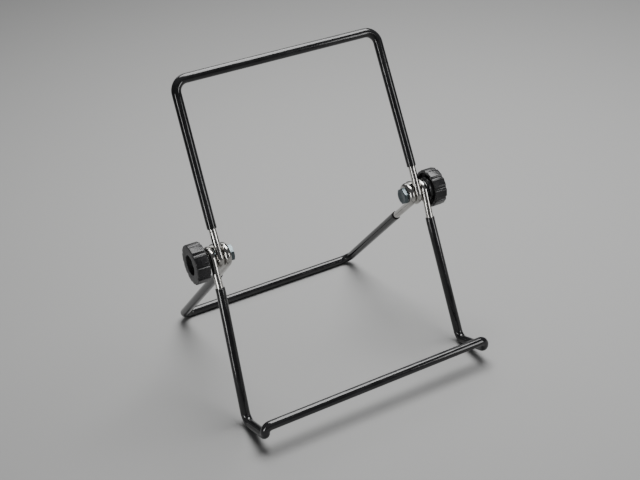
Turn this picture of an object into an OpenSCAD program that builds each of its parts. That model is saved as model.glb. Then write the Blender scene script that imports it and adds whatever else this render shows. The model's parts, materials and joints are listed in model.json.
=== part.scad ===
// Folding tablet stand: three bent-wire frames that share one hinge line, clamped by two
// hand knobs. X runs along the hinge line, -Y is the side that the tablet faces, and Z = 0
// is the table. The origin is the middle of the footprint.

/* [Wire] */
// Diameter of the plated steel wire
wire_d = 3.8; // [3:0.1:5]
// Wall of the black sleeve shrunk onto the wire
sleeve_wall = 0.55; // [0.4:0.05:1]
// Centreline radius of the corners of the back rest and of the rear leg
corner_r = 6.5; // [5:0.5:12]
// Centreline radius of the small bend where a leg splays
splay_r = 12; // [8:1:30]
// How far the wire wraps round its bolt, in degrees
eye_wrap = 200; // [185:5:220]
// Straight tail that ends each eye
eye_tail = 4.5; // [3:0.5:6]

/* [Stance] */
// Height of the hinge line above the table
hinge_h = 81; // [65:1:110]
// Lean of the lower frame from upright, in degrees
lower_lean = 18.5; // [10:0.5:30]
// Lean of the back rest from upright, in degrees
upper_lean = 24.1; // [0:0.1:45]
// Slope of the rear leg below level, in degrees
rear_slope = 43.3; // [30:0.1:60]

/* [Frames] */
// Distance between the two eyes of the lower frame, wire centre to wire centre
hinge_w = 123.6; // [100:0.2:160]
// Width of the lower frame at the ledge, wire centre to wire centre
lower_w = 130; // [105:1:170]
// Width of the back rest along its top bar, wire centre to wire centre
upper_w = 113.1; // [90:0.1:150]
// Width of the rear leg along its foot bar, wire centre to wire centre
rear_w = 112.6; // [90:0.1:150]
// Height of the back rest above its eyes, along the frame
upper_len = 88.1; // [60:0.5:130]
// Bare wire between each frame's eye and its sleeve
bare_len = 14.5; // [13:0.5:19]
// Bare wire between the rear leg's eye and its sleeve
rear_bare_len = 22; // [13:0.5:27]
// Straight length of each sleeve beside the bare wire, before the leg splays
sleeve_lead = 2; // [1:0.5:5]

/* [Ledge] */
// Distance of the front bar from the lower frame's plane
ledge_depth = 25.7; // [20:0.1:40]
// Height of the front bar above the ledge
lip_rise = 4.6; // [3.8:0.1:7]
// Centreline radius of the heel, where the leg turns into the ledge
heel_r = 5; // [3.5:0.5:8]
// Angle by which the ledge turns up into its lip, in degrees
lip_turn = 65; // [50:1:80]

/* [Bolts] */
// Thread diameter of the hinge bolts
bolt_d = 5; // [4:0.5:6]
// Width of the bolt head and of the nut across flats
hex_af = 8; // [7:0.5:9.5]
// Height of the bolt head
head_h = 2; // [1.6:0.1:4]
// Chamfer that turns off the corners of the bolt head
head_chamfer = 0.4; // [0.2:0.1:0.8]
// Height of the nut pressed into each knob
nut_h = 4; // [3:0.1:4.4]
// Chamfer that turns off the corners of the nut
nut_chamfer = 0.4; // [0.2:0.1:0.8]
// Length of bolt that shows past the nut
bolt_show = 0.8; // [0.3:0.1:1.5]
// Chamfer on the end of each bolt
bolt_chamfer = 0.5; // [0.2:0.1:0.8]
// Diameter of the thrust washers
washer_d = 10; // [8:0.5:13]
// Thickness of the thrust washers
washer_t = 0.5; // [0.3:0.1:1.5]

/* [Knobs] */
// Diameter of the knobs across opposite lobes
knob_d = 20.8; // [17.2:0.2:30]
// Length of the lobed rim along the bolt
rim_len = 7; // [6.5:0.1:12]
// Number of lobes
lobes = 10; // [8:1:12]
// Depth of the flat on each lobe
lobe_flat = 0.25; // [0.2:0.05:0.5]
// Radius of the grooves between the lobes
groove_r = 1.4; // [1:0.1:2.2]
// Depth of the grooves between the lobes
groove_depth = 0.7; // [0.3:0.05:0.9]
// Bevel round the knob's outer face
face_bevel = 0.5; // [0.3:0.1:1.5]
// Bevel round the knob's inner edge
back_bevel = 0.4; // [0.2:0.1:1]
// Diameter of the hub that bears on the washer
hub_d = 13; // [11.5:0.5:16]
// Length by which the hub stands proud of the rim
hub_proud = 0.9; // [0.5:0.1:2]
// Wall of the rim round the hollow behind it
rim_wall = 1.6; // [1:0.1:2.5]
// Depth of the hollow behind the rim
hollow_depth = 3; // [1.5:0.1:4]
// Depth of the recess in the knob's outer face
recess_depth = 2.5; // [1.5:0.1:2.8]

/* [Clearances] */
// Gap between a bolt and the wire that turns on it
eye_gap = 0.1; // [0.05:0.01:0.15]
// Gap between neighbours in the stack on a bolt
stack_gap = 0.15; // [0.1:0.01:0.2]
// Gap between the corners of a nut and the recess that it is pressed in through
recess_gap = 0.6; // [0.2:0.1:1]
// Gap between a bolt and the thread or hole that runs on it
thread_gap = 0.05; // [0.02:0.01:0.1]

/* [Hidden] */
$fn = 64;
cut = 0.5;
lap_len = 0.2;
lap_proud = 0.01;

sleeve_d = wire_d + 2 * sleeve_wall;
eye_r = bolt_d / 2 + eye_gap + wire_d / 2;
pitch = wire_d + stack_gap;
hex_r = hex_af / 2 / cos(30);
recess_d = 2 * (hex_r + recess_gap);

// The stack along each bolt, as distances from the stand's middle plane.
lower_x = hinge_w / 2;
upper_x = lower_x - pitch;
rear_x = upper_x - pitch;
head_x = rear_x - wire_d / 2 - stack_gap;
washer_x = lower_x + wire_d / 2 + stack_gap;
hub_x = washer_x + washer_t + stack_gap;
rim_x = hub_x + hub_proud;
face_x = rim_x + rim_len;
recess_x = face_x - recess_depth;
nut_x = recess_x - nut_h;
bolt_end_x = recess_x + bolt_show;

// The ledge turns up by lip_turn and then sideways into the front bar, both at lip_r.
lip_r = lip_rise / (1 - cos(lip_turn) + sin(lip_turn));
ledge_run = ledge_depth - heel_r - lip_r * (sin(lip_turn) + cos(lip_turn));
// The heel and the rear bar both rest on Z = 0.
lower_len = (hinge_h + (eye_r + heel_r) * sin(lower_lean) - heel_r - sleeve_d / 2) / cos(lower_lean);
rear_len = (hinge_h - sleeve_d / 2 - eye_r * cos(rear_slope)) / sin(rear_slope);
// Places of the front bar and the rear bar behind the hinge line.
bar_back = -(eye_r + ledge_depth) * cos(lower_lean)
    - (lower_len + heel_r - lip_rise) * sin(lower_lean);
rear_back = rear_len * cos(rear_slope) - eye_r * sin(rear_slope);
bar_up = hinge_h + (eye_r + ledge_depth) * sin(lower_lean)
    - (lower_len + heel_r - lip_rise) * cos(lower_lean);
top_up = upper_len * cos(upper_lean) + eye_r * sin(upper_lean);
top_back = upper_len * sin(upper_lean) - eye_r * cos(upper_lean);
hinge_y = -(bar_back + rear_back) / 2;

// A wire is a list of steps [feed, roll, bend, radius], as a bending machine makes it: it
// feeds straight along +Z, rolls about its own axis, then bends towards +X. Where a bend
// isn't square, a hair-thin band laps the joint between the bend and the straight after it.
module bent(steps, d, i = 0) {
    if (i < len(steps)) {
        feed = steps[i][0];
        roll = steps[i][1];
        bend = steps[i][2];
        r = steps[i][3];
        lapped = i > 0 && steps[max(i - 1, 0)][2] % 90 > 0;
        start = lapped ? lap_len / 4 : 0;
        if (lapped) translate([0, 0, -lap_len / 2]) cylinder(h = lap_len, d = d + 2 * lap_proud);
        if (feed > 0) translate([0, 0, start]) cylinder(h = feed - start, d = d);
        translate([0, 0, feed]) rotate([0, 0, roll]) {
            if (bend > 0)
                translate([r, 0, 0]) rotate([-90, 0, 0]) rotate([0, 0, 180])
                    rotate_extrude(angle = bend) translate([r, 0]) circle(d = d);
            translate([r, 0, 0]) rotate([0, bend, 0]) translate([-r, 0, 0]) bent(steps, d, i + 1);
        }
    }
}

// An S bend that carries a leg sideways by shift over a length: its straight and its angle.
function splay_straight(length, shift) = sqrt(length * length + shift * shift - 4 * splay_r * abs(shift));
function splay_angle(length, shift) = atan2(length, 2 * splay_r - abs(shift))
    - atan2(splay_straight(length, shift), 2 * splay_r);

// A leg starts with +X of the bending frame towards the stand's middle. shift is how far it
// moves that way before its last straight, which is bare wire and the lead of its sleeve.
function inward(shift) = shift < 0 ? 180 : 0;
function splay(length, shift) = [
    [0, inward(shift), splay_angle(length, shift), splay_r],
    [splay_straight(length, shift), 180, splay_angle(length, shift), splay_r]
];

// A whole leg with its eye. side is the roll that brings +X round to where the bolt lies.
function leg(length, shift, bare, side) = concat(splay(length - bare - sleeve_lead, shift), [
    [bare + sleeve_lead, inward(shift) + 180 + side, eye_wrap, eye_r],
    [eye_tail, 0, 0, 0]
]);

// The same leg as far as its sleeve goes.
function sleeved_leg(length, shift, bare) = concat(splay(length - bare - sleeve_lead, shift), [
    [sleeve_lead, 0, 0, 0]
]);

// Half of the back rest or rear leg: half its bar, then one corner.
function half_bar(w) = [[w / 2 - corner_r, 0, 90, corner_r]];

// Half of the lower frame as far as the top of its heel.
half_ledge = [
    [lower_w / 2 - lip_r, 0, 90, lip_r],
    [0, 90, lip_turn, lip_r],
    [ledge_run, 0, 90, heel_r],
    [0, -90, 0, 0]
];

module both_sides() {
    children();
    mirror([1, 0, 0]) children();
}

module at_front_bar() {
    both_sides() translate([0, hinge_y + bar_back, bar_up])
        rotate([90 - lower_lean - lip_turn, 0, 0]) rotate([0, 90, 0]) children();
}

module at_top_bar() {
    both_sides() translate([0, hinge_y + top_back, hinge_h + top_up])
        rotate([-upper_lean, 0, 0]) rotate([0, 90, 0]) children();
}

module at_rear_bar() {
    both_sides() translate([0, hinge_y + rear_back, sleeve_d / 2])
        rotate([-90 - rear_slope, 0, 0]) rotate([0, 90, 0]) children();
}

lower_shift = lower_w / 2 - lower_x;
upper_shift = upper_w / 2 - upper_x;
rear_shift = rear_w / 2 - rear_x;
lower_steps = concat(half_ledge, leg(lower_len, lower_shift, bare_len, -90));
upper_steps = concat(half_bar(upper_w), leg(upper_len - corner_r, upper_shift, bare_len, 90));
rear_steps = concat(half_bar(rear_w), leg(rear_len - corner_r, rear_shift, rear_bare_len, -90));

// A sleeve with its wire's own steps cut out of it.
module sleeve_half(steps, wire_steps) {
    difference() {
        bent(steps, sleeve_d);
        bent(wire_steps, wire_d);
    }
}

module lower_frame_wire() {
    color("silver") at_front_bar() bent(lower_steps, wire_d);
}

module lower_frame_sleeve() {
    color("#141414") at_front_bar() sleeve_half(
        concat(half_ledge, sleeved_leg(lower_len, lower_shift, bare_len)), lower_steps);
}

module upper_frame_wire() {
    color("silver") at_top_bar() bent(upper_steps, wire_d);
}

module upper_frame_sleeve() {
    color("#141414") at_top_bar() sleeve_half(
        concat(half_bar(upper_w), sleeved_leg(upper_len - corner_r, upper_shift, bare_len)),
        upper_steps);
}

module rear_leg_wire() {
    color("silver") at_rear_bar() bent(rear_steps, wire_d);
}

module rear_leg_sleeve() {
    color("#141414") at_rear_bar() sleeve_half(
        concat(half_bar(rear_w), sleeved_leg(rear_len - corner_r, rear_shift, rear_bare_len)),
        rear_steps);
}

// Everything on a bolt is drawn along +Z, with Z the distance from the stand's middle
// plane, and laid along the hinge line on the right side or mirrored to the left.
module on_hinge(left) {
    mirror([left ? 1 : 0, 0, 0]) translate([0, hinge_y, hinge_h]) rotate([0, 90, 0]) children();
}

// A hexagon whose face at the far end has its corners turned off.
module hex_prism(h, z, turned) {
    translate([0, 0, z]) intersection() {
        cylinder(h = h, r = hex_r, $fn = 6);
        rotate_extrude() polygon([
            [0, 0], [hex_r, 0], [hex_r, h - turned], [hex_af / 2 - turned / 2, h], [0, h]
        ]);
    }
}

module bolt() {
    color("#a9b4bd") {
        rotate([180, 0, 0]) hex_prism(head_h, -head_x, head_chamfer);
        rotate_extrude() polygon([
            [0, head_x], [bolt_d / 2, head_x], [bolt_d / 2, bolt_end_x - bolt_chamfer],
            [bolt_d / 2 - bolt_chamfer, bolt_end_x], [0, bolt_end_x]
        ]);
    }
}

module thrust_washer() {
    color("#c3c7ca") translate([0, 0, washer_x]) difference() {
        cylinder(h = washer_t, d = washer_d);
        translate([0, 0, -cut]) cylinder(h = washer_t + 2 * cut, r = bolt_d / 2 + thread_gap);
    }
}

// The outline of the knob before its lobes are cut: hub, hollow, rim and bevelled face.
module knob_blank() {
    rim_r = knob_d / 2;
    hollow_r = rim_r - rim_wall;
    rotate_extrude() polygon([
        [bolt_d / 2 + thread_gap, hub_x], [hub_d / 2 - hub_proud, hub_x], [hub_d / 2, rim_x],
        [hub_d / 2, rim_x + hollow_depth], [hollow_r, rim_x + hollow_depth], [hollow_r, rim_x],
        [rim_r - back_bevel, rim_x], [rim_r, rim_x + back_bevel], [rim_r, face_x - face_bevel],
        [rim_r - face_bevel, face_x], [recess_d / 2, face_x], [recess_d / 2, recess_x],
        [bolt_d / 2 + thread_gap, recess_x]
    ]);
}

module knob() {
    flat_r = knob_d / 2 - lobe_flat;
    groove_x = knob_d / 2 + groove_r - groove_depth;
    color("#1b1b1c") difference() {
        intersection() {
            knob_blank();
            translate([0, 0, hub_x - cut])
                cylinder(h = face_x - hub_x + 2 * cut, r = flat_r / cos(180 / lobes), $fn = lobes);
        }
        for (i = [0 : lobes - 1])
            rotate([0, 0, i * 360 / lobes]) translate([groove_x, 0, rim_x - cut])
                cylinder(h = rim_len + 2 * cut, r = groove_r);
        translate([0, 0, nut_x]) cylinder(h = nut_h + cut, r = hex_r, $fn = 6);
    }
}

module knob_nut() {
    color("#b9bcc0") difference() {
        hex_prism(nut_h, nut_x, nut_chamfer);
        translate([0, 0, nut_x - cut]) cylinder(h = nut_h + 2 * cut, r = bolt_d / 2 + thread_gap);
    }
}

module left_bolt() { on_hinge(true) bolt(); }
module right_bolt() { on_hinge(false) bolt(); }
module left_thrust_washer() { on_hinge(true) thrust_washer(); }
module right_thrust_washer() { on_hinge(false) thrust_washer(); }
module left_knob() { on_hinge(true) knob(); }
module right_knob() { on_hinge(false) knob(); }
module left_knob_nut() { on_hinge(true) knob_nut(); }
module right_knob_nut() { on_hinge(false) knob_nut(); }

lower_frame_wire();
lower_frame_sleeve();
upper_frame_wire();
upper_frame_sleeve();
rear_leg_wire();
rear_leg_sleeve();
left_bolt();
right_bolt();
left_thrust_washer();
right_thrust_washer();
left_knob();
right_knob();
left_knob_nut();
right_knob_nut();
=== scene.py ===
import json
import math

import bmesh
import bpy
from mathutils import Matrix, Vector


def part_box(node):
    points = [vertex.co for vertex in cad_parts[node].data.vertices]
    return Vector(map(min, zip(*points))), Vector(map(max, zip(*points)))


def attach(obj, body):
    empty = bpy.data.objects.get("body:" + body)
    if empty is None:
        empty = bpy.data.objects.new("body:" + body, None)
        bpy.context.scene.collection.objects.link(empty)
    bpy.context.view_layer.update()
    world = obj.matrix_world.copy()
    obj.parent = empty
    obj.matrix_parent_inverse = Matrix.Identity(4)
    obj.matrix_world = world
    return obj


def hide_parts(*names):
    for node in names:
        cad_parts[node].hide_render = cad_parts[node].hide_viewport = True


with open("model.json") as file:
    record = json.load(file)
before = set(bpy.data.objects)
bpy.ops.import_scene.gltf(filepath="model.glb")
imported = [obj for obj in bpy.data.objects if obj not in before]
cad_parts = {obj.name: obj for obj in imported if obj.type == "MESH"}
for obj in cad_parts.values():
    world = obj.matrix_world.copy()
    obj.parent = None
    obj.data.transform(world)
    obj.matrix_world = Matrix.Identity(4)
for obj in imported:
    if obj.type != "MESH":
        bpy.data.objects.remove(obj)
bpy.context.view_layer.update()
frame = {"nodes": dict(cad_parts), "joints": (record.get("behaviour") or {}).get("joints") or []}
print("frame loaded:", len(frame["nodes"]), "nodes")

# Pieces are drawn in millimetres and scaled to metres when they are finished
mm = 0.001
mergeGap = 0.001  # points this near are one point, in millimetres
sameGap = 0.002  # and heights or radii this near are the same

# All three frames turn about one line, so the frame's own joint gives its place
hinge = Vector(next(j["pos_m"] for j in frame["joints"] if j["name"] == "back_rest_tilt")) / mm


# How near and how far a piece on the right lies from the stand's middle plane
def alongBolt(node):
    low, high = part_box(node)
    return low[0] / mm, high[0] / mm


headInner, boltEnd = alongBolt("right_bolt")
washerInner, washerOuter = alongBolt("right_thrust_washer")
nutInner, nutOuter = alongBolt("right_knob_nut")
hubFace, knobFace = alongBolt("right_knob")

camera = {
    "azimuth": -26.22, "elevation": 30.02, "roll": -4.54,  # degrees
    "distance": 0.5692, "target": (0.005, 0, 0.064),  # metres
    "lens": 59.96, "sensor": 36,
}


def sinOf(angle):
    return math.sin(math.radians(angle))


def cosOf(angle):
    return math.cos(math.radians(angle))


def turn(angle, axis):
    return Matrix.Rotation(math.radians(angle), 4, axis)


def shift(x, y, z):
    return Matrix.Translation((x, y, z))


def makeCamera():
    side, up = camera["azimuth"], camera["elevation"]
    back = Vector((sinOf(side) * cosOf(up), -cosOf(side) * cosOf(up), sinOf(up)))
    made = bpy.data.objects.new("camera", bpy.data.cameras.new("camera"))
    made.data.lens = camera["lens"]
    made.data.sensor_width = camera["sensor"]
    place = Matrix.Translation(Vector(camera["target"]) + back * camera["distance"])
    turned = back.to_track_quat("Z", "Y").to_matrix().to_4x4()
    made.matrix_world = place @ turned @ turn(camera["roll"], "Z")
    bpy.context.collection.objects.link(made)
    bpy.context.scene.camera = made


makeCamera()
print("camera set")


def newGroup(name, inputs, outputs):
    group = bpy.data.node_groups.new(name, "ShaderNodeTree")
    for label, kind in inputs:
        group.interface.new_socket(label, in_out="INPUT", socket_type=kind)
    for label, kind in outputs:
        group.interface.new_socket(label, in_out="OUTPUT", socket_type=kind)
    return group, group.nodes.new("NodeGroupInput"), group.nodes.new("NodeGroupOutput")


def plug(tree, value, socket):
    if isinstance(value, bpy.types.NodeSocket):
        tree.links.new(value, socket)
    elif socket.type == "RGBA":
        socket.default_value = (*value, 1)
    else:
        socket.default_value = value


def maths(tree, operation, first, second):
    node = tree.nodes.new("ShaderNodeMath")
    node.operation = operation
    plug(tree, first, node.inputs[0])
    plug(tree, second, node.inputs[1])
    return node.outputs[0]


def stretch(tree, vector, amounts):
    node = tree.nodes.new("ShaderNodeMapping")
    plug(tree, vector, node.inputs["Vector"])
    plug(tree, amounts, node.inputs["Scale"])
    return node.outputs["Vector"]


def noise(tree, vector, scale, detail, roughness=0.5):
    node = tree.nodes.new("ShaderNodeTexNoise")
    plug(tree, vector, node.inputs["Vector"])
    plug(tree, scale, node.inputs["Scale"])
    plug(tree, detail, node.inputs["Detail"])
    plug(tree, roughness, node.inputs["Roughness"])
    return node.outputs["Fac"]


def spread(tree, value, low, high, outLow=0.0, outHigh=1.0):
    node = tree.nodes.new("ShaderNodeMapRange")
    node.interpolation_type = "SMOOTHSTEP"
    for label, given in (("Value", value), ("From Min", low), ("From Max", high),
                         ("To Min", outLow), ("To Max", outHigh)):
        plug(tree, given, node.inputs[label])
    return node.outputs["Result"]


# A mix node has its colours in sockets 6 and 7, and gives the mixed one out at 2
def tint(tree, mask, first, second):
    node = tree.nodes.new("ShaderNodeMix")
    node.data_type = "RGBA"
    plug(tree, mask, node.inputs[0])
    plug(tree, first, node.inputs[6])
    plug(tree, second, node.inputs[7])
    return node.outputs[2]


drawMarksLook = {"detail": 4.0, "roughness": 0.62}


# Marks drawn along the wire's own course, as a die leaves them
def makeDrawMarks():
    group, given, made = newGroup(
        "drawMarks",
        [("Course", "NodeSocketVector"), ("Fineness", "NodeSocketFloat"), ("Length", "NodeSocketFloat")],
        [("Marks", "NodeSocketFloat")])
    fine = group.nodes.new("ShaderNodeCombineXYZ")
    for axis in range(2):
        plug(group, given.outputs["Fineness"], fine.inputs[axis])
    plug(group, maths(group, "DIVIDE", 1.0, given.outputs["Length"]), fine.inputs[2])
    drawn = stretch(group, given.outputs["Course"], fine.outputs[0])
    marks = noise(group, drawn, 1.0, drawMarksLook["detail"], drawMarksLook["roughness"])
    plug(group, marks, made.inputs["Marks"])
    return group


handlingLook = {
    "broadDetail": 3.0, "broadShare": 0.7, "closer": 6.0, "closeDetail": 5.0, "closeRoughness": 0.6,
    "closeShare": 0.3, "from": 0.36, "to": 0.66,
}


# Broad, soft patches where fingers have been
def makeHandling():
    look = handlingLook
    group, given, made = newGroup(
        "handling", [("Place", "NodeSocketVector"), ("Patches", "NodeSocketFloat")],
        [("Smudge", "NodeSocketFloat")])
    place, patches = given.outputs["Place"], given.outputs["Patches"]
    broad = noise(group, place, patches, look["broadDetail"])
    closer = maths(group, "MULTIPLY", patches, look["closer"])
    close = noise(group, place, closer, look["closeDetail"], look["closeRoughness"])
    both = maths(group, "ADD", maths(group, "MULTIPLY", broad, look["broadShare"]),
                 maths(group, "MULTIPLY", close, look["closeShare"]))
    plug(group, spread(group, both, look["from"], look["to"]), made.inputs["Smudge"])
    return group


dustLook = {
    "detail": 2.0, "roughness": 0.4, "driftScale": 0.04, "driftDetail": 2.0, "driftShare": 0.08, "full": 0.9,
}


# Sparse specks of dust, thicker where they drift together
def makeDust():
    look = dustLook
    group, given, made = newGroup(
        "dust",
        [("Place", "NodeSocketVector"), ("Specks", "NodeSocketFloat"), ("Bareness", "NodeSocketFloat")],
        [("Dust", "NodeSocketFloat")])
    place, size = given.outputs["Place"], given.outputs["Specks"]
    specks = noise(group, place, size, look["detail"], look["roughness"])
    drift = noise(group, place, maths(group, "MULTIPLY", size, look["driftScale"]), look["driftDetail"])
    thick = maths(group, "ADD", specks, maths(group, "MULTIPLY", drift, look["driftShare"]))
    plug(group, spread(group, thick, given.outputs["Bareness"], look["full"]), made.inputs["Dust"])
    return group


drawMarks = makeDrawMarks()
handling = makeHandling()
dust = makeDust()
print("shader groups built")


def newFinish(name):
    made = bpy.data.materials.new(name)
    made.use_nodes = True
    tree = made.node_tree
    shader = next(n for n in tree.nodes if n.type == "BSDF_PRINCIPLED")
    place = tree.nodes.new("ShaderNodeTexCoord").outputs["Object"]
    return made, tree, shader, place


def attribute(tree, name, output):
    node = tree.nodes.new("ShaderNodeAttribute")
    node.attribute_name = name
    return node.outputs[output]


def useGroup(tree, group, **values):
    node = tree.nodes.new("ShaderNodeGroup")
    node.node_tree = group
    for label, value in values.items():
        plug(tree, value, node.inputs[label])
    return node.outputs[0]


def relief(tree, shader, height, depth):
    node = tree.nodes.new("ShaderNodeBump")
    plug(tree, height, node.inputs["Height"])
    node.inputs["Distance"].default_value = depth
    tree.links.new(node.outputs["Normal"], shader.inputs["Normal"])


plating = {
    "bright": (0.54, 0.53, 0.51), "dull": (0.42, 0.41, 0.39),
    "roughness": (0.06, 0.2), "fineness": 9.0, "markLength": 14.0, "markEdges": (0.3, 0.7),
    "patches": 90.0, "depth": 0.000012,
}


def makePlating():
    made, tree, shader, place = newFinish("nickelPlate")
    marks = useGroup(tree, drawMarks, Course=attribute(tree, "course", "Vector"),
                     Fineness=plating["fineness"], Length=plating["markLength"])
    smudge = useGroup(tree, handling, Place=place, Patches=plating["patches"])
    plug(tree, tint(tree, smudge, plating["bright"], plating["dull"]), shader.inputs["Base Color"])
    low, high = plating["roughness"]
    worn = maths(tree, "MULTIPLY", smudge, spread(tree, marks, *plating["markEdges"]))
    plug(tree, spread(tree, worn, 0.0, 1.0, low, high), shader.inputs["Roughness"])
    shader.inputs["Metallic"].default_value = 1.0
    relief(tree, shader, marks, plating["depth"])
    return made


shrink = {
    "deep": (0.006, 0.006, 0.0065), "worn": (0.014, 0.014, 0.015), "dust": (0.20, 0.19, 0.18),
    "roughness": (0.06, 0.13), "fineness": 2.6, "markLength": 26.0,
    "patches": 60.0, "specks": 2400.0, "bareness": 0.74, "peel": 900.0, "peelDetail": 2.0,
    "peelShare": 0.12, "depth": 0.00004, "ior": 1.5,
}


def makeShrink():
    made, tree, shader, place = newFinish("blackSleeve")
    marks = useGroup(tree, drawMarks, Course=attribute(tree, "course", "Vector"),
                     Fineness=shrink["fineness"], Length=shrink["markLength"])
    smudge = useGroup(tree, handling, Place=place, Patches=shrink["patches"])
    specks = useGroup(tree, dust, Place=place, Specks=shrink["specks"], Bareness=shrink["bareness"])
    clean = tint(tree, smudge, shrink["deep"], shrink["worn"])
    plug(tree, tint(tree, specks, clean, shrink["dust"]), shader.inputs["Base Color"])
    low, high = shrink["roughness"]
    marred = maths(tree, "ADD", smudge, specks)
    plug(tree, spread(tree, marred, 0.0, 1.0, low, high), shader.inputs["Roughness"])
    shader.inputs["IOR"].default_value = shrink["ior"]
    peel = noise(tree, place, shrink["peel"], shrink["peelDetail"])
    ripple = maths(tree, "ADD", marks, maths(tree, "MULTIPLY", peel, shrink["peelShare"]))
    relief(tree, shader, ripple, shrink["depth"])
    return made


moulded = {
    "deep": (0.007, 0.007, 0.0075), "bloom": (0.014, 0.014, 0.015), "edge": (0.036, 0.036, 0.037),
    "dust": (0.20, 0.19, 0.18), "roughness": (0.17, 0.29), "edgeRoughness": 0.14, "faceRoughness": 0.42,
    "specular": 0.36, "ior": 1.49, "patches": 110.0, "specks": 2600.0, "bareness": 0.76,
    "scuffs": 1500.0, "scuffDetail": 4.0, "scuffRoughness": 0.65, "scuffEdges": (0.42, 0.62),
    "grain": 5200.0, "grainDetail": 3.0, "grainRoughness": 0.55, "depth": 0.00003,
}


# The knobs' plastic: rubbed bright along its edges, and matt on the face that looks outwards
def makeMoulded():
    made, tree, shader, place = newFinish("mouldedBlack")
    smudge = useGroup(tree, handling, Place=place, Patches=moulded["patches"])
    specks = useGroup(tree, dust, Place=place, Specks=moulded["specks"], Bareness=moulded["bareness"])
    scratched = noise(tree, place, moulded["scuffs"], moulded["scuffDetail"], moulded["scuffRoughness"])
    scuffs = spread(tree, scratched, *moulded["scuffEdges"])
    edge = maths(tree, "MULTIPLY", attribute(tree, "edge", "Fac"), scuffs)
    clean = tint(tree, smudge, moulded["deep"], moulded["bloom"])
    rubbed = tint(tree, edge, clean, moulded["edge"])
    plug(tree, tint(tree, specks, rubbed, moulded["dust"]), shader.inputs["Base Color"])
    low, high = moulded["roughness"]
    matt = spread(tree, smudge, 0.0, 1.0, low, high)
    rubbedMatt = spread(tree, edge, 0.0, 1.0, matt, moulded["edgeRoughness"])
    faceMatt = spread(tree, attribute(tree, "face", "Fac"), 0.0, 1.0, rubbedMatt, moulded["faceRoughness"])
    plug(tree, faceMatt, shader.inputs["Roughness"])
    shader.inputs["IOR"].default_value = moulded["ior"]
    shader.inputs["Specular IOR Level"].default_value = moulded["specular"]
    grain = noise(tree, place, moulded["grain"], moulded["grainDetail"], moulded["grainRoughness"])
    relief(tree, shader, grain, moulded["depth"])
    return made


zinc = {
    "dullEdges": (0.45, 0.72), "wornFull": 0.6, "ringWander": 1.2, "ringDetail": 3.0,
    "ringDetailScale": 2.0, "grainDetail": 4.0, "grainRoughness": 0.6,
}


# Zinc plate over turned or rolled steel: rings about the bolt's own line, and a faint bloom
def makeZinc(name, look):
    made, tree, shader, place = newFinish(name)
    centred = tree.nodes.new("ShaderNodeMapping")
    plug(tree, place, centred.inputs["Vector"])
    plug(tree, tuple(-hinge * mm), centred.inputs["Location"])
    rings = tree.nodes.new("ShaderNodeTexWave")
    rings.wave_type = "RINGS"
    rings.rings_direction = "X"
    plug(tree, centred.outputs["Vector"], rings.inputs["Vector"])
    rings.inputs["Scale"].default_value = look["rings"]
    rings.inputs["Distortion"].default_value = zinc["ringWander"]
    rings.inputs["Detail"].default_value = zinc["ringDetail"]
    rings.inputs["Detail Scale"].default_value = zinc["ringDetailScale"]
    smudge = useGroup(tree, handling, Place=place, Patches=look["patches"])
    speckle = noise(tree, place, look["grain"], zinc["grainDetail"], zinc["grainRoughness"])
    bloom = tint(tree, smudge, look["bright"], look["bloom"])
    dulled = spread(tree, speckle, *zinc["dullEdges"])
    plug(tree, tint(tree, dulled, bloom, look["dull"]), shader.inputs["Base Color"])
    low, high = look["roughness"]
    worn = maths(tree, "MULTIPLY", speckle, smudge)
    plug(tree, spread(tree, worn, 0.0, zinc["wornFull"], low, high), shader.inputs["Roughness"])
    shader.inputs["Metallic"].default_value = 1.0
    height = maths(tree, "ADD", maths(tree, "MULTIPLY", rings.outputs["Fac"], look["ringDepth"]), speckle)
    relief(tree, shader, height, look["depth"])
    return made


boltZinc = {
    "bright": (0.12, 0.145, 0.155), "bloom": (0.085, 0.105, 0.115), "dull": (0.06, 0.075, 0.08),
    "roughness": (0.26, 0.44), "rings": 420.0, "ringDepth": 0.7, "grain": 1900.0,
    "patches": 160.0, "depth": 0.000014,
}
washerZinc = {
    "bright": (0.34, 0.34, 0.34), "bloom": (0.27, 0.28, 0.28), "dull": (0.18, 0.18, 0.18),
    "roughness": (0.3, 0.5), "rings": 300.0, "ringDepth": 0.5, "grain": 1700.0,
    "patches": 150.0, "depth": 0.000016,
}
nutZinc = {
    "bright": (0.52, 0.52, 0.45), "bloom": (0.42, 0.42, 0.35), "dull": (0.25, 0.25, 0.21),
    "roughness": (0.36, 0.56), "rings": 380.0, "ringDepth": 0.6, "grain": 2100.0,
    "patches": 170.0, "depth": 0.000018,
}

nickelPlate = makePlating()
blackSleeve = makeShrink()
mouldedBlack = makeMoulded()
boltPlate = makeZinc("boltZinc", boltZinc)
washerPlate = makeZinc("washerZinc", washerZinc)
nutPlate = makeZinc("nutZinc", nutZinc)
print("finishes built")


def sharpen(bm, angle):
    for edge in bm.edges:
        edge.smooth = len(edge.link_faces) == 2 and edge.calc_face_angle(0) < math.radians(angle)
    for face in bm.faces:
        face.smooth = True


def finishPiece(bm, name, body, finish, node, sharp=24):
    bmesh.ops.remove_doubles(bm, verts=bm.verts, dist=mergeGap)
    bmesh.ops.recalc_face_normals(bm, faces=bm.faces)
    sharpen(bm, sharp)
    bmesh.ops.scale(bm, vec=(mm, mm, mm), verts=bm.verts)
    mesh = bpy.data.meshes.new(name)
    bm.to_mesh(mesh)
    bm.free()
    mesh.materials.append(finish)
    made = bpy.data.objects.new(name, mesh)
    bpy.context.collection.objects.link(made)
    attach(made, body)
    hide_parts(node)


def ofKind(geom, kind):
    return [g for g in geom if isinstance(g, kind)]


def vertsIn(geom):
    return ofKind(geom, bmesh.types.BMVert)


def edgesIn(geom):
    return ofKind(geom, bmesh.types.BMEdge)


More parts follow.
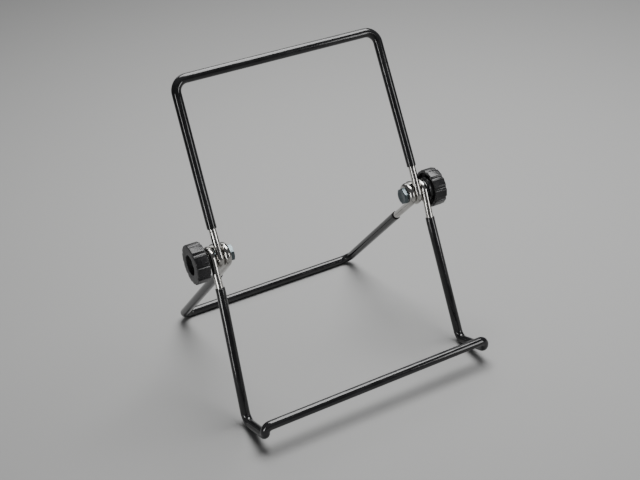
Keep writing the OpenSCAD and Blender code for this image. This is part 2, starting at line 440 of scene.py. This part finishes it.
# A tube is drawn as a bending machine makes it: fed along +Z, rolled, then bent towards +X.
# Each point of its skin keeps where it lies round the wire and how far along it.
tube = {"sides": 40, "bendStep": 6, "roundSteps": 4}


def startTube(bm, place, radius):
    course = bm.verts.layers.float_vector["course"]
    verts = bmesh.ops.create_circle(bm, segments=tube["sides"], radius=radius, matrix=place)["verts"]
    for vert in verts:
        across = place.inverted() @ vert.co
        vert[course] = Vector((across.x, across.y, 0)) / radius
    edges = list({edge for vert in verts for edge in vert.link_edges})
    return {"bm": bm, "ring": edges, "place": place, "radius": radius, "along": 0.0}


def drawOn(run, move, length, grow=1.0):
    bm, place = run["bm"], run["place"]
    course = bm.verts.layers.float_vector["course"]
    geom = bmesh.ops.extrude_edge_only(bm, edges=run["ring"])["geom"]
    verts = vertsIn(geom)
    whole = place @ move @ Matrix.Diagonal((grow, grow, 1, 1)) @ place.inverted()
    bmesh.ops.transform(bm, matrix=whole, verts=verts)
    run["along"] += length
    for vert in verts:
        vert[course] = Vector((vert[course].x, vert[course].y, run["along"]))
    fresh = set(verts)
    run["ring"] = [edge for edge in edgesIn(geom) if set(edge.verts) <= fresh]
    run["place"] = place @ move
    run["radius"] *= grow


def feed(run, length, radius=None):
    drawOn(run, shift(0, 0, length), length, (radius or run["radius"]) / run["radius"])


def bend(run, angle, radius):
    count = math.ceil(angle / tube["bendStep"])
    part = angle / count
    move = shift(radius, 0, 0) @ turn(part, "Y") @ shift(-radius, 0, 0)
    for _ in range(count):
        drawOn(run, move, radius * math.radians(part))


def follow(run, steps):
    for length, roll, angle, radius in steps:
        if length > 0:
            feed(run, length)
        run["place"] = run["place"] @ turn(roll, "Z")
        if angle > 0:
            bend(run, angle, radius)


def roundOff(run, depth):
    count, full = tube["roundSteps"], run["radius"]
    for i in range(1, count + 1):
        before, now = 90 * (i - 1) / count, 90 * i / count
        feed(run, depth * (sinOf(now) - sinOf(before)), full - depth * (1 - cosOf(now)))


def newTubes():
    bm = bmesh.new()
    bm.verts.layers.float_vector.new("course")
    return bm


# The half on the right is drawn and mirrored. The course runs backwards on the left.
def mirrorTubes(bm):
    geom = bm.verts[:] + bm.edges[:] + bm.faces[:]
    bmesh.ops.mirror(bm, geom=geom, axis="X", merge_dist=mergeGap)
    course = bm.verts.layers.float_vector["course"]
    for vert in bm.verts:
        if vert.co.x < 0:
            around, over, along = vert[course]
            vert[course] = Vector((around, over, -along))


wire = {
    "radius": 1.9, "eyeRadius": 4.5, "eyeWrap": 200, "tail": 4.5, "splayRadius": 12, "shear": 0.35,
    "sharp": 40,
}
sleeve = {"radius": 2.45, "lead": 2, "roll": 0.2}


def inward(sideways):
    return 180 if sideways < 0 else 0


# An S bend that carries a leg sideways over a length
def splaySteps(length, sideways):
    radius, off = wire["splayRadius"], abs(sideways)
    straight = math.sqrt(length * length + off * off - 4 * radius * off)
    angle = math.degrees(math.atan2(length, 2 * radius - off) - math.atan2(straight, 2 * radius))
    return [(0, inward(sideways), angle, radius), (straight, 180, angle, radius)]


def legSteps(length, sideways, bare, side):
    rolled = inward(sideways) + 180 + side
    return splaySteps(length - bare - sleeve["lead"], sideways) + [
        (bare + sleeve["lead"], rolled, wire["eyeWrap"], wire["eyeRadius"]),
        (wire["tail"] - wire["shear"], 0, 0, 0),
    ]


def makeWire(name, body, node, place, barSteps, leg):
    bm = newTubes()
    run = startTube(bm, place, wire["radius"])
    follow(run, barSteps + legSteps(*leg))
    roundOff(run, wire["shear"])
    bmesh.ops.contextual_create(bm, geom=run["ring"])
    mirrorTubes(bm)
    finishPiece(bm, name, body, nickelPlate, node, wire["sharp"])


# The sleeve's outside rolls over its cut end and comes back along the wire inside
def makeSleeve(name, body, node, place, barSteps, leg):
    length, sideways, bare, _ = leg
    steps = barSteps + splaySteps(length - bare - sleeve["lead"], sideways)
    bm = newTubes()
    outside = startTube(bm, place, sleeve["radius"])
    follow(outside, steps)
    feed(outside, sleeve["lead"] - sleeve["roll"])
    roundOff(outside, sleeve["roll"])
    feed(outside, 0, wire["radius"])
    inside = startTube(bm, place, wire["radius"])
    follow(inside, steps)
    feed(inside, sleeve["lead"])
    mirrorTubes(bm)
    finishPiece(bm, name, body, blackSleeve, node, wire["sharp"])


lowerFrame = {
    "lean": 18.5, "hingeHalf": 61.8, "half": 65, "bare": 14.5,
    "ledgeDepth": 25.7, "lipRise": 4.6, "lipTurn": 65, "heelRadius": 5,
}
upperFrame = {
    "lean": 24.1, "hingeHalf": 57.85, "half": 56.55, "bare": 14.5, "length": 88.1, "cornerRadius": 6.5,
}
rearLeg = {"slope": 43.3, "hingeHalf": 53.9, "half": 56.3, "bare": 22, "cornerRadius": 6.5}


def halfBar(shape):
    radius = shape["cornerRadius"]
    return [(shape["half"] - radius, 0, 90, radius)]


def makeLowerFrame():
    lean, heel, lipTurn = lowerFrame["lean"], lowerFrame["heelRadius"], lowerFrame["lipTurn"]
    depth, rise = lowerFrame["ledgeDepth"], lowerFrame["lipRise"]
    lip = rise / (1 - cosOf(lipTurn) + sinOf(lipTurn))
    length = (hinge.z + (wire["eyeRadius"] + heel) * sinOf(lean) - heel - sleeve["radius"]) / cosOf(lean)
    down = length + heel - rise
    out = wire["eyeRadius"] + depth
    place = (shift(0, hinge.y - out * cosOf(lean) - down * sinOf(lean),
                   hinge.z + out * sinOf(lean) - down * cosOf(lean))
             @ turn(90 - lean - lipTurn, "X") @ turn(90, "Y"))
    ledge = [
        (lowerFrame["half"] - lip, 0, 90, lip),
        (0, 90, lipTurn, lip),
        (depth - heel - lip * (sinOf(lipTurn) + cosOf(lipTurn)), 0, 90, heel),
        (0, -90, 0, 0),
    ]
    leg = (length, lowerFrame["half"] - lowerFrame["hingeHalf"], lowerFrame["bare"], -90)
    makeWire("lowerFrameWire", "lower_frame", "lower_frame_wire", place, ledge, leg)
    makeSleeve("lowerFrameSleeve", "lower_frame", "lower_frame_sleeve", place, ledge, leg)


def makeUpperFrame():
    lean, length, eye = upperFrame["lean"], upperFrame["length"], wire["eyeRadius"]
    place = (shift(0, hinge.y + length * sinOf(lean) - eye * cosOf(lean),
                   hinge.z + length * cosOf(lean) + eye * sinOf(lean))
             @ turn(-lean, "X") @ turn(90, "Y"))
    leg = (length - upperFrame["cornerRadius"], upperFrame["half"] - upperFrame["hingeHalf"],
           upperFrame["bare"], 90)
    makeWire("upperFrameWire", "upper_frame", "upper_frame_wire", place, halfBar(upperFrame), leg)
    makeSleeve("upperFrameSleeve", "upper_frame", "upper_frame_sleeve", place, halfBar(upperFrame), leg)


def makeRearLeg():
    slope, eye = rearLeg["slope"], wire["eyeRadius"]
    length = (hinge.z - sleeve["radius"] - eye * cosOf(slope)) / sinOf(slope)
    place = (shift(0, hinge.y + length * cosOf(slope) - eye * sinOf(slope), sleeve["radius"])
             @ turn(-90 - slope, "X") @ turn(90, "Y"))
    leg = (length - rearLeg["cornerRadius"], rearLeg["half"] - rearLeg["hingeHalf"], rearLeg["bare"], -90)
    makeWire("rearLegWire", "rear_leg", "rear_leg_wire", place, halfBar(rearLeg), leg)
    makeSleeve("rearLegSleeve", "rear_leg", "rear_leg_sleeve", place, halfBar(rearLeg), leg)


makeLowerFrame()
makeUpperFrame()
makeRearLeg()
print("wires bent and sleeved")


# What sits on a bolt is drawn along +Z, with Z the distance from the stand's middle plane
def ontoHinge(bm, side):
    outwards = 90 if side == "right" else -90
    bmesh.ops.transform(bm, matrix=Matrix.Translation(hinge) @ turn(outwards, "Y"), verts=bm.verts)


# A chain of points (radius, z) turned right round
def latheProfile(bm, points, steps, closed=False):
    verts = [bm.verts.new((radius, 0, z)) for radius, z in points]
    pairs = list(zip(verts, verts[1:])) + ([(verts[-1], verts[0])] if closed else [])
    edges = [bm.edges.new(pair) for pair in pairs]
    bmesh.ops.spin(bm, geom=verts + edges, cent=(0, 0, 0), axis=(0, 0, 1), dvec=(0, 0, 0),
                   angle=math.radians(360), steps=steps, use_merge=True)


def ringAt(bm, radius, z):
    return [edge for edge in bm.edges
            if all(abs(v.co.z - z) < sameGap and abs(v.co.xy.length - radius) < sameGap for v in edge.verts)]


hexagon = {"acrossFlats": 8, "edgeRound": 0.12, "edgeSegments": 2, "cuts": 36, "cutGap": 0.0001}
hexCorner = hexagon["acrossFlats"] / 2 / cosOf(30)


# A hexagonal prism from z = low to high, its corners turned off at the end that facing points to
def hexPrism(bm, low, high, turned, facing):
    made = bmesh.ops.create_cone(bm, cap_ends=True, segments=6, radius1=hexCorner, radius2=hexCorner,
                                 depth=high - low, matrix=shift(0, 0, (low + high) / 2) @ turn(90, "Z"))
    edges = {edge for vert in made["verts"] for edge in vert.link_edges}
    upright = [e for e in edges if abs(e.verts[0].co.z - e.verts[1].co.z) > (high - low) / 2]
    bmesh.ops.bevel(bm, geom=upright, offset=hexagon["edgeRound"],
                    segments=hexagon["edgeSegments"], profile=0.5, affect="EDGES", material=-1)
    face = high if facing > 0 else low
    rim = hexagon["acrossFlats"] / 2 - turned / 2
    outwards = Vector((turned, facing * (hexCorner - rim))).normalized()
    for i in range(hexagon["cuts"]):
        angle = 360 * i / hexagon["cuts"]
        point = (rim * cosOf(angle), rim * sinOf(angle), face)
        normal = (outwards.x * cosOf(angle), outwards.x * sinOf(angle), outwards.y)
        geom = bm.verts[:] + bm.edges[:] + bm.faces[:]
        cut = bmesh.ops.bisect_plane(bm, geom=geom, dist=hexagon["cutGap"], plane_co=point, plane_no=normal,
                                     clear_outer=True)["geom_cut"]
        if len(edgesIn(cut)) > 2:
            bmesh.ops.contextual_create(bm, geom=edgesIn(cut))
    return face


bolt = {
    "head": 2, "headTurned": 0.4, "capInset": 1.5, "shank": 2.5, "overlap": 0.2, "steps": 48,
    "thread": 8.5, "runOut": 0.5, "endTaper": 0.5, "endSlope": 0.7, "root": 2.08, "crest": 2.48, "sunk": 0.1,
    "pitch": 0.8, "flank": 0.33, "land": 0.06, "dimpleSlope": 0.3, "dimpleDepth": 0.12,
}


# The thread is a ridge wound round the bolt's root, its foot sunk a little below the surface
def makeThread(bm):
    low, high = boltEnd - bolt["thread"], boltEnd - bolt["endTaper"]
    turns = (high - low - bolt["flank"]) / bolt["pitch"]
    perTurn = bolt["steps"] // 2
    inner = bolt["root"] - bolt["sunk"]
    corners = [(inner, -bolt["flank"]), (bolt["crest"], -bolt["land"]), (bolt["crest"], bolt["land"]),
               (inner, bolt["flank"])]
    verts = [bm.verts.new((radius, 0, low + z)) for radius, z in corners]
    ring = [bm.edges.new(pair) for pair in zip(verts, verts[1:] + verts[:1])]
    start = bmesh.ops.contextual_create(bm, geom=ring)["faces"]
    steps = round(turns * perTurn)
    bmesh.ops.spin(bm, geom=start, cent=(0, 0, 0), axis=(0, 0, 1), dvec=(0, 0, bolt["pitch"] / perTurn),
                   angle=math.radians(360 * steps / perTurn), steps=steps)


def makeBolt(side):
    bm = bmesh.new()
    neck = headInner + bolt["head"]
    face = hexPrism(bm, headInner, neck, bolt["headTurned"], -1)
    flats = [f for f in bm.faces if abs(f.calc_center_median().z - face) < sameGap]
    cap = max(flats, key=lambda f: f.calc_area())
    bmesh.ops.inset_region(bm, faces=[cap], thickness=bolt["capInset"], depth=0)
    bmesh.ops.inset_region(bm, faces=[cap], thickness=bolt["dimpleSlope"], depth=-bolt["dimpleDepth"])
    root, taper = bolt["root"], bolt["endTaper"]
    threadFrom = boltEnd - bolt["thread"]
    latheProfile(bm, [
        (0, neck - bolt["overlap"]), (bolt["shank"], neck - bolt["overlap"]),
        (bolt["shank"], threadFrom - bolt["runOut"]), (root, threadFrom),
        (root, boltEnd - taper), (root - taper * bolt["endSlope"], boltEnd), (0, boltEnd),
    ], bolt["steps"])
    makeThread(bm)
    ontoHinge(bm, side)
    finishPiece(bm, side + "Bolt", "lower_frame", boltPlate, side + "_bolt")


washer = {"bore": 2.55, "radius": 5, "round": 0.12, "roundSegments": 3, "sharpOver": 60, "steps": 72}


def roundSharpEdges(bm, offset, segments, over):
    sharp = [e for e in bm.edges if len(e.link_faces) == 2 and e.calc_face_angle(0) > math.radians(over)]
    return bmesh.ops.bevel(bm, geom=sharp, offset=offset, segments=segments, profile=0.5,
                           affect="EDGES", material=-1)["faces"]


def makeWasher(side):
    bm = bmesh.new()
    bore, radius = washer["bore"], washer["radius"]
    section = [(bore, washerInner), (radius, washerInner), (radius, washerOuter), (bore, washerOuter)]
    latheProfile(bm, section, washer["steps"], closed=True)
    roundSharpEdges(bm, washer["round"], washer["roundSegments"], washer["sharpOver"])
    ontoHinge(bm, side)
    finishPiece(bm, side + "Washer", side + "_washer", washerPlate, side + "_thrust_washer")


nut = {"turned": 0.4, "bore": 2.55, "lead": 0.3, "steps": 36}


def makeNut(side):
    bm = bmesh.new()
    hexPrism(bm, nutInner, nutOuter, nut["turned"], 1)
    caps = [f for f in bm.faces if abs(abs(f.normal.z) - 1) < sameGap]
    bmesh.ops.delete(bm, geom=caps, context="FACES_ONLY")
    rims = [e for e in bm.edges if len(e.link_faces) == 1]
    bore, lead = nut["bore"], nut["lead"]
    latheProfile(bm, [(bore + lead, nutInner), (bore, nutInner + lead), (bore, nutOuter - lead),
                      (bore + lead, nutOuter)], nut["steps"])
    for z in (nutInner, nutOuter):
        rim = [e for e in rims if abs(e.verts[0].co.z - z) < sameGap]
        bmesh.ops.bridge_loops(bm, edges=rim + ringAt(bm, bore + lead, z))
    ontoHinge(bm, side)
    finishPiece(bm, side + "Nut", side + "_knob", nutPlate, side + "_knob_nut")


knob = {
    "lobes": 10, "radius": 10.4, "flatDepth": 0.25, "grooveRadius": 1.4, "grooveDepth": 0.7,
    "grooveSegments": 10, "flatSegments": 4, "cornerRound": 0.28, "cornerSegments": 4,
    "cornersPast": 1.015, "weld": 0.01, "faceRound": 0.5, "faceSteps": 5, "backRound": 0.4, "backSteps": 3,
    "hubProud": 0.9, "hubRadius": 6.5, "hubTip": 5.6, "hollowDepth": 3, "hollowRadius": 8.8,
    "recessRadius": 5.22, "bore": 2.55, "edgeRound": 0.25, "edgeSegments": 3, "sharpOver": 40,
    "pocketCuts": 9, "sharp": 30,
}


# One groove and one flat lobe side, turned round the knob and joined into a closed outline
def knobOutline(bm, z):
    lobes, radius, groove = knob["lobes"], knob["radius"], knob["grooveRadius"]
    half = 180 / lobes
    flat = radius - knob["flatDepth"]
    centre = radius + groove - knob["grooveDepth"]
    opening = 90 - half - math.degrees(math.asin((centre * cosOf(half) - flat) / groove))
    start = bm.verts.new((centre - groove, 0, z))
    arc = bmesh.ops.spin(bm, geom=[start], cent=(centre, 0, z), axis=(0, 0, -1), dvec=(0, 0, 0),
                         angle=math.radians(opening), steps=knob["grooveSegments"] // 2)
    end = vertsIn(arc["geom_last"])[0]
    middle = Vector((flat * cosOf(half), flat * sinOf(half), z))
    step = (middle - end.co) / (knob["flatSegments"] // 2)
    for _ in range(knob["flatSegments"] // 2):
        end = bmesh.ops.extrude_vert_indiv(bm, verts=[end])["verts"][0]
        end.co += step
    bmesh.ops.mirror(bm, geom=bm.verts[:] + bm.edges[:], axis="Y", merge_dist=mergeGap)
    bmesh.ops.spin(bm, geom=bm.verts[:] + bm.edges[:], cent=(0, 0, 0), axis=(0, 0, 1), dvec=(0, 0, 0),
                   angle=math.radians(360), steps=lobes, use_duplicate=True)
    bmesh.ops.remove_doubles(bm, verts=bm.verts, dist=knob["weld"])
    corners = [v for v in bm.verts if v.co.xy.length > flat * knob["cornersPast"]]
    bmesh.ops.bevel(bm, geom=corners, offset=knob["cornerRound"], segments=knob["cornerSegments"],
                    profile=0.5, affect="VERTICES", material=-1)
    return bm.edges[:]


def raiseRing(bm, edges, up, scale):
    geom = bmesh.ops.extrude_edge_only(bm, edges=edges)["geom"]
    verts = vertsIn(geom)
    bmesh.ops.transform(bm, matrix=shift(0, 0, up) @ Matrix.Diagonal((scale, scale, 1, 1)), verts=verts)
    fresh = set(verts)
    return [e for e in edgesIn(geom) if set(e.verts) <= fresh]


# The knob's sides: the outline swells over the back edge, climbs, and rounds in again at the face
def makeSides(bm, rim):
    radius, back, front = knob["radius"], knob["backRound"], knob["faceRound"]
    first = knobOutline(bm, rim)
    bmesh.ops.scale(bm, vec=((radius - back) / radius,) * 2 + (1,), verts=bm.verts)
    ring, now = first, radius - back
    step = 90 / knob["backSteps"]
    for i in range(knob["backSteps"]):
        before, after = step * i, step * (i + 1)
        wanted = radius - back * (1 - sinOf(after))
        ring = raiseRing(bm, ring, back * (cosOf(before) - cosOf(after)), wanted / now)
        now = wanted
    ring = raiseRing(bm, ring, knobFace - front - rim - back, 1)
    step = 90 / knob["faceSteps"]
    for i in range(knob["faceSteps"]):
        before, after = step * i, step * (i + 1)
        wanted = radius - front * (1 - cosOf(after))
        ring = raiseRing(bm, ring, front * (sinOf(after) - sinOf(before)), wanted / now)
        now = wanted
    return first, ring


# The six-sided pocket that the nut is pressed into, from the bore's end up to the recess
def cutPocket(bm):
    before = set(bm.edges)
    place = shift(0, 0, nutInner) @ turn(90, "Z")
    bmesh.ops.create_circle(bm, segments=6, radius=hexCorner, matrix=place)
    sides = [edge for edge in bm.edges if edge not in before]
    bmesh.ops.subdivide_edges(bm, edges=sides, cuts=knob["pocketCuts"])
    low = [edge for edge in bm.edges if edge not in before]
    high = raiseRing(bm, low, nutOuter - nutInner, 1)
    bmesh.ops.bridge_loops(bm, edges=low + ringAt(bm, knob["bore"], nutInner))
    bmesh.ops.bridge_loops(bm, edges=high + ringAt(bm, knob["recessRadius"], nutOuter))


# The moulding keeps how rubbed each point is, and which points lie on its outer face
def makeKnob(side):
    bm = bmesh.new()
    edgeLayer = bm.verts.layers.float.new("edge")
    faceLayer = bm.verts.layers.float.new("face")
    rim = hubFace + knob["hubProud"]
    first, last = makeSides(bm, rim)
    around = len(first)
    rubbed = rim + knob["backRound"], knobFace - knob["faceRound"]
    for vert in bm.verts:
        vert[edgeLayer] = 0 if rubbed[0] < vert.co.z < rubbed[1] else 1
    hub, hollow, floor = knob["hubRadius"], knob["hollowRadius"], rim + knob["hollowDepth"]
    bore, recess = knob["bore"], knob["recessRadius"]
    latheProfile(bm, [
        (hollow, rim), (hollow, floor), (hub, floor), (hub, rim), (knob["hubTip"], hubFace),
        (bore, hubFace), (bore, nutInner),
    ], around)
    latheProfile(bm, [(recess, nutOuter), (recess, knobFace)], around)
    bmesh.ops.bridge_loops(bm, edges=first + ringAt(bm, hollow, rim))
    bmesh.ops.bridge_loops(bm, edges=last + ringAt(bm, recess, knobFace))
    bmesh.ops.recalc_face_normals(bm, faces=bm.faces)
    for face in roundSharpEdges(bm, knob["edgeRound"], knob["edgeSegments"], knob["sharpOver"]):
        for vert in face.verts:
            vert[edgeLayer] = 1
    cutPocket(bm)
    for vert in bm.verts:
        vert[faceLayer] = 1 if vert.co.z > knobFace - sameGap else 0
    ontoHinge(bm, side)
    node = side + "_knob"
    finishPiece(bm, side + "Knob", node, mouldedBlack, node, knob["sharp"])


for side in ("left", "right"):
    makeBolt(side)
    makeWasher(side)
    makeNut(side)
    makeKnob(side)
print("bolts, washers, nuts and knobs made")


floorLook = {"size": 40.0, "colour": (0.31, 0.31, 0.307), "roughness": 0.7}


def makeFloor():
    bm = bmesh.new()
    bmesh.ops.create_grid(bm, x_segments=1, y_segments=1, size=floorLook["size"] / 2)
    mesh = bpy.data.meshes.new("floor")
    bm.to_mesh(mesh)
    bm.free()
    made = bpy.data.objects.new("floor", mesh)
    paint, _, shader, _ = newFinish("paleFloor")
    plug(paint.node_tree, floorLook["colour"], shader.inputs["Base Color"])
    shader.inputs["Roughness"].default_value = floorLook["roughness"]
    mesh.materials.append(paint)
    bpy.context.collection.objects.link(made)
    return made


# Soft boxes: place, what they face, width and height in metres, power in watts, and whether
# they light the floor as well as the stand
lights = {
    "overhead": {"at": (0.20, 0.12, 0.72), "facing": (0.08, 0.05, 0), "size": (0.60, 0.46),
                 "power": 9.8, "onFloor": True},
    "backPanel": {"at": (0.25, 0.95, 0.75), "facing": (0, 0, 0.05), "size": (1.00, 0.45),
                  "power": 2.2, "onFloor": True},
    "leftStrip": {"at": (-0.47, -0.21, 0.155), "facing": (0, 0, 0.155), "size": (0.075, 0.30),
                  "power": 0.75, "onFloor": False},
    "footStrip": {"at": (-0.22, -0.125, 0.03), "facing": (0, -0.04, 0.03), "size": (0.03, 0.056),
                  "power": 0.055, "onFloor": False},
    "frontCard": {"at": (0.48, -0.66, 0.24), "facing": (0, 0, 0.08), "size": (0.20, 0.40),
                  "power": 1.7, "onFloor": False},
}
surround = {"colour": (0.80, 0.81, 0.83), "strength": 0.15}


# The low cards light the stand and leave the floor alone, so no edge of light crosses it
def makeLights(floor):
    spared = bpy.data.collections.new("sparedFloor")
    spared.objects.link(floor)
    spared.collection_objects[0].light_linking.link_state = "EXCLUDE"
    for name, box in lights.items():
        lamp = bpy.data.lights.new(name, "AREA")
        lamp.shape = "RECTANGLE"
        lamp.size, lamp.size_y = box["size"]
        lamp.energy = box["power"]
        made = bpy.data.objects.new(name, lamp)
        away = Vector(box["at"]) - Vector(box["facing"])
        aimed = away.to_track_quat("Z", "Y").to_matrix().to_4x4()
        made.matrix_world = Matrix.Translation(box["at"]) @ aimed
        made.visible_camera = False
        if not box["onFloor"]:
            made.light_linking.receiver_collection = spared
        bpy.context.collection.objects.link(made)
    world = bpy.data.worlds.new("surround")
    bpy.context.scene.world = world
    world.use_nodes = True
    sky = next(n for n in world.node_tree.nodes if n.type == "BACKGROUND")
    sky.inputs["Color"].default_value = (*surround["colour"], 1)
    sky.inputs["Strength"].default_value = surround["strength"]


makeLights(makeFloor())
print("floor and lights set")
